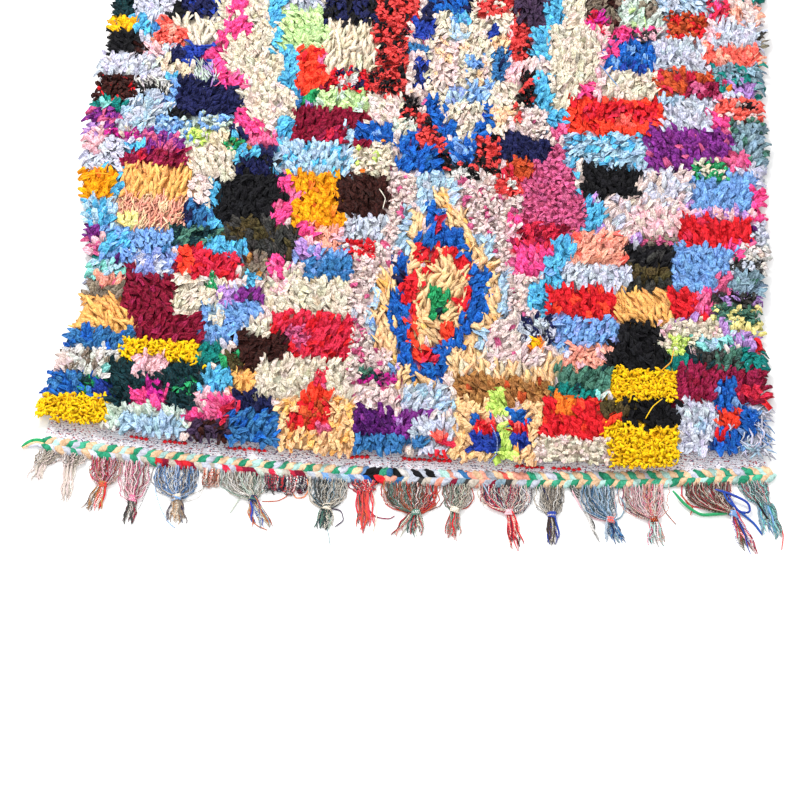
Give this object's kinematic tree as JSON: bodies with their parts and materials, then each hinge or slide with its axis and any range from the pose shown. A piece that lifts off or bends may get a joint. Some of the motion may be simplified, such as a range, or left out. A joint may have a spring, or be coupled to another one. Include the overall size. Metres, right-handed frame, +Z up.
{
  "type": "boucherouite rug",
  "caption": "Flat hand-knotted rag rug with a shaggy pile of cloth tufts, a two-row twined edge and knotted warp tassels at one end.",
  "frame": {"origin": "on the floor under the middle of the rug's box, tassels included", "axes": "+Z up from the floor, +Y along the rug's length away from its tassels, +X across its width"},
  "size_m": [1.4592, 2.0554, 0.0395],
  "materials": {
    "ground_weave": "plain cotton weave",
    "rag_pile": "tufts of many-coloured cotton rags",
    "twined_edge": "twisted cotton rag",
    "tassel_01": "loose warp yarn",
    "tassel_02": "loose warp yarn",
    "tassel_03": "loose warp yarn",
    "tassel_04": "loose warp yarn",
    "tassel_05": "loose warp yarn",
    "tassel_06": "loose warp yarn",
    "tassel_07": "loose warp yarn",
    "tassel_08": "loose warp yarn",
    "tassel_09": "loose warp yarn",
    "tassel_10": "loose warp yarn",
    "tassel_11": "loose warp yarn",
    "tassel_12": "loose warp yarn",
    "tassel_13": "loose warp yarn",
    "tassel_14": "loose warp yarn",
    "tassel_15": "loose warp yarn",
    "tassel_16": "loose warp yarn",
    "tassel_17": "loose warp yarn",
    "tassel_18": "loose warp yarn",
    "tassel_19": "loose warp yarn"
  },
  "bodies": {
    "root": {"ground_weave": "ground_weave", "rag_pile": "rag_pile", "twined_edge": "twined_edge", "tassel_01": "tassel_01", "tassel_02": "tassel_02", "tassel_03": "tassel_03", "tassel_04": "tassel_04", "tassel_05": "tassel_05", "tassel_06": "tassel_06", "tassel_07": "tassel_07", "tassel_08": "tassel_08", "tassel_09": "tassel_09", "tassel_10": "tassel_10", "tassel_11": "tassel_11", "tassel_12": "tassel_12", "tassel_13": "tassel_13", "tassel_14": "tassel_14", "tassel_15": "tassel_15", "tassel_16": "tassel_16", "tassel_17": "tassel_17", "tassel_18": "tassel_18", "tassel_19": "tassel_19"}
  },
  "joints": []
}
